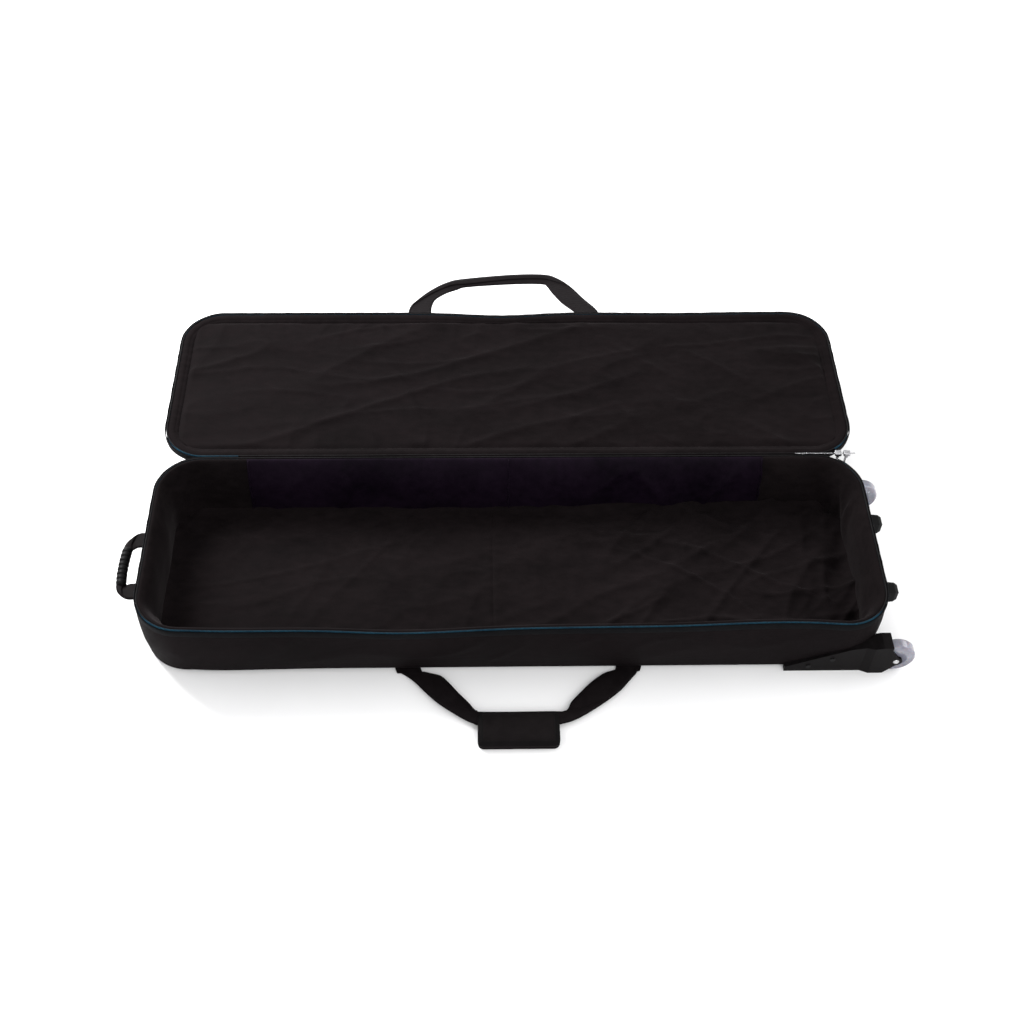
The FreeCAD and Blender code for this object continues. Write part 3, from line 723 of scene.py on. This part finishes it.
def lying_cloth(name, x0, x1, y0, y1, inset, height, spacing, material, slot, body):
    """Grid of cloth that fits inside the rounded outline between x0 and x1."""
    r = CORNER_R - inset
    columns = int((x1 - x0) / spacing)
    lanes = int((y1 - y0 - 2 * inset) / spacing)
    points = []
    for i in range(columns + 1):
        x = x0 + (x1 - x0) * i / columns
        over = min(r, max(0.0, abs(x) - STRAIGHT_X))
        trim = r - math.sqrt(max(0.0, r * r - over * over))
        low, high = y0 + inset + trim, y1 - inset - trim
        for j in range(lanes + 1):
            y = low + (high - low) * j / lanes
            points.append(Vector((x, y, height(x, y))))
    faces = strip_faces(columns + 1, lanes + 1, False)
    faces = [f[::-1] for f in faces]
    return new_piece(name, points, faces, material, slot, body)


def floor_height(x, y):
    """The floor lining's folds: slight at the left, radiating and deeper to the right."""
    right = smooth_step((x + 0.05) / 0.35)
    near_end = smooth_step((x - 0.44) / 0.22)
    dy = min(y - (FRONT_Y + WALL_T), back_edge(FLOOR_Z) - WALL_T - y)
    dx = HALF_L - WALL_T - abs(x)
    cove = 0.009 * math.exp(-dy / 0.007) + 0.01 * math.exp(-max(0.0, dx) / 0.01)
    bunch = 0.01 * right * math.exp(-(back_edge(FLOOR_Z) - WALL_T - y) / 0.014)
    bunch *= 0.6 + 0.4 * wave(x, y, 0, 12, 6.6)
    folds = 0.0056 * fold(x, y, 0.9, 13.0, 3.2, 1.3) * (0.35 + 0.65 * right)
    folds += 0.0066 * fold(x, y, -0.55, 11.0, 2.6, 7.1) * (0.15 + 0.85 * right)
    folds += 0.0054 * fold(x, y, 0.25, 15.0, 3.4, 4.9) * (0.45 + 0.55 * right)
    folds += 0.011 * fold(x, y, 1.35, 12.0, 3.0, 3.7) * near_end
    ripple = 0.0014 * (1 + wave(x, y, 0, 16.0, 2.2)) + 0.0008 * (1 + wave(x, y, 0, 34.0, 5.2))
    crease = -0.0016 * hill(x, CREASE_X, 0.0035) + 0.0016 * hill(x, CREASE_X, 0.016)
    return FLOOR_Z - 0.0003 + max(0.0, cove + bunch + folds + ripple + crease)


def make_floor():
    """The floor lining in two widths that meet at a crease."""
    edge = HALF_L - WALL_T
    y0, y1 = FRONT_Y, back_edge(FLOOR_Z)
    for name, a, b in (("left", -edge, CREASE_X), ("right", CREASE_X, edge)):
        cloth = lying_cloth("floor_soft_" + name, a, b, y0, y1, WALL_T - 0.0005, floor_height, 0.0042,
                            "plush_lining", "plush_lining", "tub")
        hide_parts("floor_lining_" + name)


# ---- lid ----------------------------------------------------------------

def make_lid_shell():
    """The lid's outer skin; its panel sags a little underneath."""
    edge_r = 0.01
    low = LID[0].z
    middle_y = (LID_Y0 + LID_Y1) / 2
    inner = outline(LID_Y0, LID_Y1, edge_r)
    points = []
    shares = [0.12 + 0.88 * i / 22 for i in range(22)]
    for share in shares:
        for spot in inner:
            x, y = spot[0] * share, middle_y + (spot[1] - middle_y) * share
            sag = smooth_step((1 - share) / 0.14)
            drop = sag * (0.0022 + 0.0012 * wave(x, y, 0, 3.5, 4.4) + 0.0014 * fold(x, y, 0.4, 4.0, 2.0, 8.2))
            points.append(Vector((x, y, low - max(0.0, drop))))
    points += [Vector((s[0], s[1], low)) for s in inner]
    rows = len(shares) + 1
    for a in (25, 50, 72):
        t = math.radians(a)
        ring = outline(LID_Y0, LID_Y1, edge_r * (1 - math.sin(t)))
        for s in ring:
            z = low + edge_r * (1 - math.cos(t))
            points.append(Vector((s[0], s[1], z)) + lid_slack(s[0], s[1], z) * 0.6)
        rows += 1
    top = LID_RIM_Z - 0.0035
    ring = outline(LID_Y0, LID_Y1, 0.0)
    for i in range(9):
        z = low + edge_r + (top - low - edge_r) * i / 8
        swell = math.sin(math.pi * i / 8)
        for s in ring:
            push = 0.0011 * swell * (1 + wave(s[0], s[1], z, 8.0, 6.1))
            hinge_side = s[3] < -0.5
            push *= 0.3 if hinge_side else 1.0
            points.append(Vector((s[0] + s[2] * push, s[1] + s[3] * push, z)) + lid_slack(s[0], s[1], z))
        rows += 1
    faces = strip_faces(rows, LOOP, True)
    faces.append(tuple(range(LOOP - 1, -1, -1)))
    shell = new_piece("lid_shell", points, faces, "outer_fabric", "outer_fabric", "lid")
    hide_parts("lid_panel", "lid_gusset", "lid_edge_foam")


def make_lid_rim():
    """The lid's lining rolled over its padded edge, with a corded outer edge."""
    high = LID_RIM[1].z
    face = LID_FACE_Z
    band = [(0.0016, high - 0.006), (0.0022, high - 0.0036), (0.0038, high - 0.0018),
            (0.0064, high - 0.0007), (0.01, high - 0.0002), (0.0136, high - 0.0006),
            (0.0166, high - 0.0014), (0.0184, high - 0.003), (0.02, high - 0.0034),
            (0.0226, high - 0.004), (0.025, high - 0.0058), (0.0268, face + 0.0016),
            (0.029, face + 0.0004), (0.031, face - 0.0006)]
    # The rim's plush is the darker lid copy: painted shade.
    rim = sweep("lid_rim", band, LID_Y0, LID_Y1, lid_rim_point, "lid_plush_painted_shade", "binding", "lid")
    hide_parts("lid_rim_binding")
    make_piping("lid_piping", LID_Y0, LID_Y1, 0.002, high - 0.001, lid_slack, "lid")


def lid_lining_height(x, y):
    """Soft quilted swells and long shallow folds in the lid's lining."""
    d = min(y - LID_Y0 - WALL_T, LID_Y1 - WALL_T - y, HALF_L - WALL_T - abs(x))
    tuck = -0.001 * math.exp(-max(0.0, d) / 0.004)
    swell = 0.0022 * (1 + wave(x, y, 0, 2.6, 9.9)) * smooth_step(d / 0.06)
    folds = 0.0046 * fold(x, y, 0.32, 8.0, 1.8, 5.5) + 0.0036 * fold(x, y, -0.8, 10.0, 2.6, 2.8)
    folds += 0.0026 * fold(x, y, 0.1, 17.0, 4.2, 1.4) + 0.0007 * (1 + wave(x, y, 0, 30.0, 3.8))
    pull = 0.0034 * fold(x, y, 1.45, 14.0, 4.0, 6.9) * math.exp(-max(0.0, d) / 0.05)
    return LID_FACE_Z + 0.0008 + tuck + swell + (folds + pull) * smooth_step((d + 0.001) / 0.014)


def make_lid_lining():
    edge = HALF_L - WALL_T + 0.0025
    # The lid lining is drawn in the darker copy of the plush: painted shade.
    cloth = lying_cloth("lid_lining_soft", -edge, edge, LID_Y0, LID_Y1, WALL_T - 0.0025,
                        lid_lining_height, 0.0046, "lid_plush_painted_shade", "plush_lining", "lid")
    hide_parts("lid_lining")


# ---- hinge and zipper ---------------------------------------------------

def make_hinge_web():
    """One strip of fabric from the tub's back over the hinge line to the lid."""
    low = WEB[0].z
    route = [(-0.0016, low), (-0.0017, low + 0.01), (-0.0015, low + 0.02), (-0.0012, HINGE_Z - 0.004),
             (-0.0008, HINGE_Z - 0.0012), (0.0, HINGE_Z - 0.0002), (0.0008, HINGE_Z - 0.0014),
             (0.0012, HINGE_Z - 0.005), (0.0014, low + 0.02), (0.0016, low + 0.01), (0.0015, low)]
    steps = 230
    points = []
    for dy, z in route:
        for i in range(steps + 1):
            x = WEB[0].x + (WEB[1].x - WEB[0].x) * i / steps
            ruck = 0.0002 * wave(x, dy * 40, z * 8, 30.0, 1.9)
            points.append(Vector((x, HINGE_Y + dy + ruck, z)))
    faces = strip_faces(len(route), steps + 1, False)
    web = new_piece("hinge_fabric", points, faces, "outer_fabric", "outer_fabric")
    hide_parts("hinge_web_tub", "hinge_web_lid")
    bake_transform(web)
    run = sum(math.hypot(b[0] - a[0], b[1] - a[1]) for a, b in zip(route, route[1:]))


def zip_spots(hinge_last):
    """Places round the outline where the zipper runs open, in order from the parked corner."""
    stop = ARC_STEPS * 60 // 90
    web = int(FRONT_STEPS * (STRAIGHT_X + WEB[0].x) / (2 * STRAIGHT_X))
    if hinge_last:
        end = BACK_START - ARC_STEPS + stop
        start = BACK_END - web
        return list(range(start, LOOP)) + list(range(0, end + 1))
    return list(range(FRONT_END + ARC_STEPS - stop, LOOP)) + list(range(0, web + 1))


def make_zipper():
    """Tapes and coils on both rims, and the closed chain past the hinge."""
    jobs = (
        ("body", FRONT_Y, RIM_BACK_Y, zip_spots(True), COIL, tub_slack, "tub"),
        ("lid", LID_Y0, LID_Y1, zip_spots(False), LID_COIL, lid_slack, "lid"),
    )
    for name, y0, y1, spots, box, slack, body in jobs:
        top = box[1].z - 0.0032
        profile = [(-0.001, top - 0.0142), (-0.0014, top - 0.013), (-0.0013, top - 0.007), (-0.0012, top),
                   (-0.0004, top + 0.0012), (0.0012, top + 0.0014)]

        def place(spot, z, inset):
            x, y, nx, ny = spot
            along = x if abs(ny) > 0.5 else y
            ruck = 0.0003 * math.sin(along * 140 + 2 * math.sin(along * 23))
            return Vector((x + nx * (0.0022 + ruck), y + ny * (0.0022 + ruck), z)) + slack(x, y, z)

        tape = sweep(name + "_tape_soft", profile, y0, y1, place, "zip_tape", "zip_tape", body, spots, False)
        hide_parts(name + "_zip_tape")
        path = sunk_path(y0, y1, 0.0003, box[1].z - 0.0016, slack, spots)
        wound = coil(name + "_coil_wire", path, 0.0013, 0.0024, "zip_coil_blue", "zip_coil_blue", body)
        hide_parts(name + "_zip_coil")
    path = [Vector((CHAIN[0].x + (CHAIN[1].x - 0.004 - CHAIN[0].x) * i / 40, HINGE_Y, HINGE_Z))
            for i in range(41)]
    chain = coil("chain_wire", path, 0.0009, 0.0024, "zip_metal", "zip_metal", "tub")
    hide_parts("zip_chain_closed")


# ---- straps and handle --------------------------------------------------

def make_front_strap():
    """Carry strap that lies in front: twisted over at both sides and doubled in its wrap."""
    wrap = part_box("wrap_base")
    lying = 0.004
    inside = 0.0112
    plan = [
        ((-0.224, -0.2225), (-0.175, -0.2225), lying), ((-0.211, -0.231), (-0.163, -0.2265), 0.005),
        ((-0.193, -0.248), (-0.142, -0.235), 0.008), ((-0.172, -0.272), (-0.126, -0.252), 0.0095),
        ((-0.147, -0.297), (-0.111, -0.271), 0.01), ((-0.114, -0.322), (-0.09, -0.295), 0.0105),
        ((-0.081, -0.341), (-0.073, -0.317), inside), ((-0.055, -0.3455), (-0.055, -0.3205), inside),
        ((0.065, -0.3455), (0.065, -0.3205), inside), ((0.092, -0.344), (0.097, -0.319), inside),
        ((0.133, -0.327), (0.112, -0.295), 0.0105), ((0.174, -0.299), (0.14, -0.264), 0.01),
        ((0.209, -0.271), (0.16, -0.244), 0.0095), ((0.234, -0.242), (0.177, -0.23), 0.007),
        ((0.241, -0.23), (0.192, -0.225), 0.005), ((0.245, -0.2225), (0.1965, -0.2225), lying),
    ]
    edges = [((ox, oy, z), (ix, iy, z + 0.0015)) for (ox, oy), (ix, iy), z in plan]
    strap = ribbon("front_strap_soft", edges, FRONT_STRAP_W, STRAP_T, "front_strap")
    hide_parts("front_strap_webbing")
    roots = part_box("front_strap_anchors")
    for i, x in enumerate((-0.202, 0.2225)):
        outward = -0.006 if i == 0 else 0.006
        lie = [((x + outward * t - TAB_W / 2, y, z), (x + outward * t + TAB_W / 2, y, z)) for y, z, t in
               ((roots[1].y, 0.0026, 1.0), ((roots[0].y + roots[1].y) / 2, 0.0027, 0.9),
                (roots[0].y, 0.0032, 0.45), (-0.224, 0.0042, 0.2))]
        tab = ribbon("front_strap_tab_%d" % i, lie, TAB_W, STRAP_T, None)
        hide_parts("front_strap_anchors")
        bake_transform(tab)
    make_wrap(wrap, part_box("wrap_flap"))


def pad(name, x0, x1, y0, y1, low, high, material, slot, body, columns=70, lanes=36, corner=0.012):
    """Closed stuffed slab between the heights low(x, y) and high(x, y), with rounded corners."""
    points = []
    for i in range(columns + 1):
        x = x0 + (x1 - x0) * i / columns
        near = min(x - x0, x1 - x)
        trim = corner - math.sqrt(max(0.0, corner ** 2 - max(0.0, corner - near) ** 2))
        for j in range(lanes + 1):
            y = (y0 + trim) + (y1 - y0 - 2 * trim) * j / lanes
            edge = min(near, y - y0 - trim, y1 - trim - y)
            points.append((x, y, edge))
    top = [Vector((x, y, high(x, y, edge))) for x, y, edge in points]
    bottom = [Vector((x, y, min(low(x, y, edge), high(x, y, edge) - 0.0004))) for x, y, edge in points]
    faces = [f[::-1] for f in strip_faces(columns + 1, lanes + 1, False)]
    n = len(points)
    faces += [tuple(v + n for v in f[::-1]) for f in faces]
    row = lanes + 1
    rim = ([j for j in range(row)] + [i * row + lanes for i in range(1, columns + 1)]
           + [columns * row + j for j in range(lanes - 1, -1, -1)]
           + [i * row for i in range(columns - 1, 0, -1)])
    for a, b in zip(rim, rim[1:] + rim[:1]):
        faces.append((a, b, b + n, a + n))
    piece = new_piece(name, top + bottom, faces, material, slot, body)
    return piece


def make_wrap(base, flap):
    """Padded sleeve round the strap: a base, and a flap that folds over and sticks to it."""
    split_y = -0.353
    edge_r = 0.006

    def base_low(x, y, edge):
        return base[0].z + 0.0022 * math.exp(-edge / 0.003)

    def base_high(x, y, edge):
        return base[1].z - 0.0026 * math.exp(-edge / 0.003) + 0.0002 * wave(x, y, 0, 60, 1.1)

    lower = pad("wrap_base_soft", base[0].x, base[1].x, base[0].y, base[1].y, base_low, base_high,
                "wrap_fabric", "wrap_fabric", "front_strap")
    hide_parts("wrap_base")

    def flap_high(x, y, edge):
        across = (y - flap[0].y) / (flap[1].y - flap[0].y)
        near = smooth_step((0.3 - across) / 0.3)
        round_off = (flap[1].z - 0.013) * (0.55 + 0.25 * near) * math.exp(-edge / (edge_r + 0.004 * near))
        crown = 0.0052 * math.sin(math.pi * across) - 0.0012 - 0.0016 * hill(y, -0.356, 0.01)
        dent = -0.0006 * fold(x, y, 1.2, 22.0, 10.0, 4.0)
        return flap[1].z - 0.0012 - round_off + crown + dent + 0.0006 * wave(x, y, 0, 22, 6.0)

    def flap_low(x, y, edge):
        lip = smooth_step((split_y - y) / 0.004)
        return 0.0152 + (0.0092 - 0.0152) * lip

    upper = pad("wrap_flap_soft", flap[0].x, flap[1].x, flap[0].y, flap[1].y, flap_low, flap_high,
                "wrap_fabric", "wrap_fabric", "wrap_flap")
    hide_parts("wrap_flap")
    stitch_points, stitch_faces = [], []
    tapes = []
    for x0, x1 in ((flap[0].x + 0.001, flap[0].x + 0.0105), (flap[1].x - 0.0105, flap[1].x - 0.001)):
        tapes.append((x0, x1, flap[0].y + 0.002, flap[1].y - 0.002))
    tapes.append((flap[0].x + 0.004, flap[1].x - 0.004, flap[0].y + 0.001, flap[0].y + 0.0095))
    for i, (x0, x1, y0, y1) in enumerate(tapes):
        def band_high(x, y, edge):
            whole = min(x - flap[0].x, flap[1].x - x, y - flap[0].y, flap[1].y - y)
            return flap_high(x, y, max(0.0, whole)) + 0.0009 * (1 - math.exp(-edge / 0.0007)) - 0.0003
        band = pad("wrap_tape_%d" % i, x0, x1, y0, y1, lambda x, y, e: band_high(x, y, e) - 0.0012, band_high,
                   "binding", "binding", "wrap_flap", 60 if i == 2 else 10, 10 if i == 2 else 60, 0.001)
        band["part_of"] = upper.name
        inner_x = x1 - 0.0012 if i == 0 else x0 + 0.0012
        count = 32 if i == 2 else 15
        for k in range(count):
            t = (k + 0.5) / count
            if i == 2:
                at = Vector((x0 + 0.008 + (x1 - x0 - 0.016) * t, y1 - 0.0012, 0))
                along = Vector((1, 0, 0))
            else:
                at = Vector((inner_x, y0 + 0.006 + (y1 - y0 - 0.012) * t, 0))
                along = Vector((0, 1, 0))
            at.z = band_high(at.x, at.y, 0.0012) + 0.0002
            add_stitch(stitch_points, stitch_faces, at, along, Vector((0, 0, 1)))
    new_piece("wrap_stitches", stitch_points, stitch_faces, "stitch", "binding", "wrap_flap")


def make_lid_strap():
    """Carry strap that hangs down behind the open lid."""
    def droop(y):
        return 0.129 - (y - LID_STRAP_Y) * math.tan(math.radians(12.0))

    plan = [
        ((-0.222, 0.655), (-0.17, 0.655)), ((-0.2245, 0.675), (-0.172, 0.676)),
        ((-0.22, 0.702), (-0.17, 0.704)), ((-0.206, 0.728), (-0.161, 0.73)),
        ((-0.176, 0.769), (-0.138, 0.757)), ((-0.138, 0.803), (-0.112, 0.776)),
        ((-0.098, 0.819), (-0.088, 0.788)), ((0.017, 0.837), (0.016, 0.801)),
        ((0.09, 0.838), (0.088, 0.801)), ((0.127, 0.819), (0.099, 0.79)),
        ((0.155, 0.783), (0.109, 0.761)), ((0.181, 0.732), (0.13, 0.714)),
        ((0.208, 0.684), (0.156, 0.674)), ((0.215, 0.655), (0.161, 0.655)),
    ]
    edges = [((ox, oy, droop((oy + iy) / 2) - 0.001), (ix, iy, droop((oy + iy) / 2) + 0.001))
             for (ox, oy), (ix, iy) in plan]
    strap = ribbon("lid_strap_soft", edges, LID_STRAP_W, STRAP_T, "lid_strap")
    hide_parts("lid_strap_webbing")
    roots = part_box("lid_strap_anchors")
    for i, x in enumerate((-0.196, 0.188)):
        out = roots[1].y - 0.0006
        patch = [((x - TAB_W / 2, y, z), (x + TAB_W / 2, y, z)) for y, z in
                 ((out, roots[1].z), (out + 0.0003, 0.1335), (LID_STRAP_Y, 0.129),
                  (LID_STRAP_Y + 0.006, 0.1277))]
        tab = ribbon("lid_strap_tab_%d" % i, patch, TAB_W, STRAP_T, None)
        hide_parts("lid_strap_anchors")
        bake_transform(tab)


def make_haul_handle():
    """End handle: a webbing loop through a ribbed grip."""
    z = HAUL_Z
    plan = [
        ((-0.729, 0.074), (-0.729, 0.036), 0), ((-0.745, 0.073), (-0.745, 0.0355), 0),
        ((-0.76, 0.071), (-0.756, 0.035), 0), ((-0.772, 0.06), (-0.762, 0.033), 1),
        ((-0.785, 0.038), (-0.766, 0.03), 1), ((-0.787, 0.02), (-0.768, 0.018), 0),
        ((-0.789, -0.015), (-0.77, -0.015), 0), ((-0.787, -0.048), (-0.768, -0.046), 0),
        ((-0.786, -0.066), (-0.767, -0.056), 1), ((-0.776, -0.083), (-0.764, -0.056), 1),
        ((-0.762, -0.092), (-0.758, -0.055), 0), ((-0.745, -0.0925), (-0.745, -0.0545), 0),
        ((-0.729, -0.092), (-0.729, -0.054), 0),
    ]
    edges = [((ox, oy, z + 0.0012 * up), (ix, iy, z - 0.0012 * up)) for (ox, oy), (ix, iy), up in plan]
    loop = ribbon("haul_webbing_soft", edges, HAUL_W, HAUL_T, "haul_handle")
    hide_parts("haul_webbing")
    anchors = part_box("haul_anchors")
    for i, y in enumerate((0.055, -0.073)):
        x = (anchors[0].x + anchors[1].x) / 2
        patch = [((x, y - HAUL_W / 2, at), (x, y + HAUL_W / 2, at)) for at in (anchors[0].z, z, anchors[1].z)]
        tab = ribbon("haul_patch_%d" % i, patch, HAUL_W, HAUL_T, "tub")
        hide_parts("haul_anchors")
    make_grip()


def make_grip():
    """Turned grip with soft rings, bowed like its webbing."""
    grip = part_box("haul_grip")
    middle = (grip[0].y + grip[1].y) / 2
    half = (grip[1].y - grip[0].y) / 2
    sides, steps, rings = 28, 150, 8
    rows = []
    for i in range(steps + 1):
        t = -1 + 2 * i / steps
        swell = 0.5 + 0.5 * math.cos(math.pi * 2 * (t + 1) / 2 * rings)
        radius = 0.0086 + 0.0019 * (1 - swell ** 3) * (1 - 0.35 * t ** 6)
        bow = 0.0024 * t * t
        rows.append((Vector((grip[0].x + 0.0106 + bow, middle + half * t, HAUL_Z)), radius))
    points = []
    for centre, radius in rows:
        for k in range(sides):
            a = 2 * math.pi * k / sides
            points.append(centre + Vector((math.cos(a) * radius, 0, math.sin(a) * radius)))
    faces = capped_faces(len(rows), sides)
    piece = new_piece("grip_ribbed", points, faces, "grip_rubber", "grip_rubber", "haul_handle")
    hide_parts("haul_grip")


# ---- studio -------------------------------------------------------------

def make_studio():
    """Pale floor and big soft lights."""
    bpy.ops.mesh.primitive_plane_add(size=30, location=(0, 0, -0.0006))
    ground = bpy.context.object
    ground.name = "ground"
    n = Nodes("ground_paper")
    grain = n.noise(3.0)
    n.colour(grain, (0.9, 0.9, 0.905), (0.93, 0.93, 0.935))
    n.rough(grain, 0.6, 0.8)
    n.bump(n.noise(250.0), 0.0001)
    ground.data.materials.append(n.material)
    lights = (
        ("key", (-2.0, 1.7, 1.9), 1.1, 165.0),
        ("front", (0.9, -2.6, 2.6), 2.4, 42.0),
        ("side", (2.8, 0.6, 1.6), 1.6, 30.0),
    )
    for name, where, size, power in lights:
        data = bpy.data.lights.new(name, "AREA")
        data.shape = "SQUARE"
        data.size = size
        data.energy = power
        light = bpy.data.objects.new(name, data)
        light.location = where
        light.rotation_euler = (Vector((0, 0.2, 0)) - Vector(where)).to_track_quat("-Z", "Y").to_euler()
        bpy.context.scene.collection.objects.link(light)
    world = bpy.data.worlds.new("soft_room")
    world.use_nodes = True
    background = world.node_tree.nodes["Background"]
    background.inputs["Color"].default_value = (1, 1, 1, 1)
    background.inputs["Strength"].default_value = 1.05
    bpy.context.scene.world = world
    bpy.context.scene.view_settings.view_transform = "Standard"


make_camera()
dress_cad_nodes()
make_tub_shell()
make_inner_walls()
make_floor()
make_lid_shell()
make_lid_rim()
make_lid_lining()
make_hinge_web()
make_zipper()
make_front_strap()
make_lid_strap()
make_haul_handle()
make_studio()
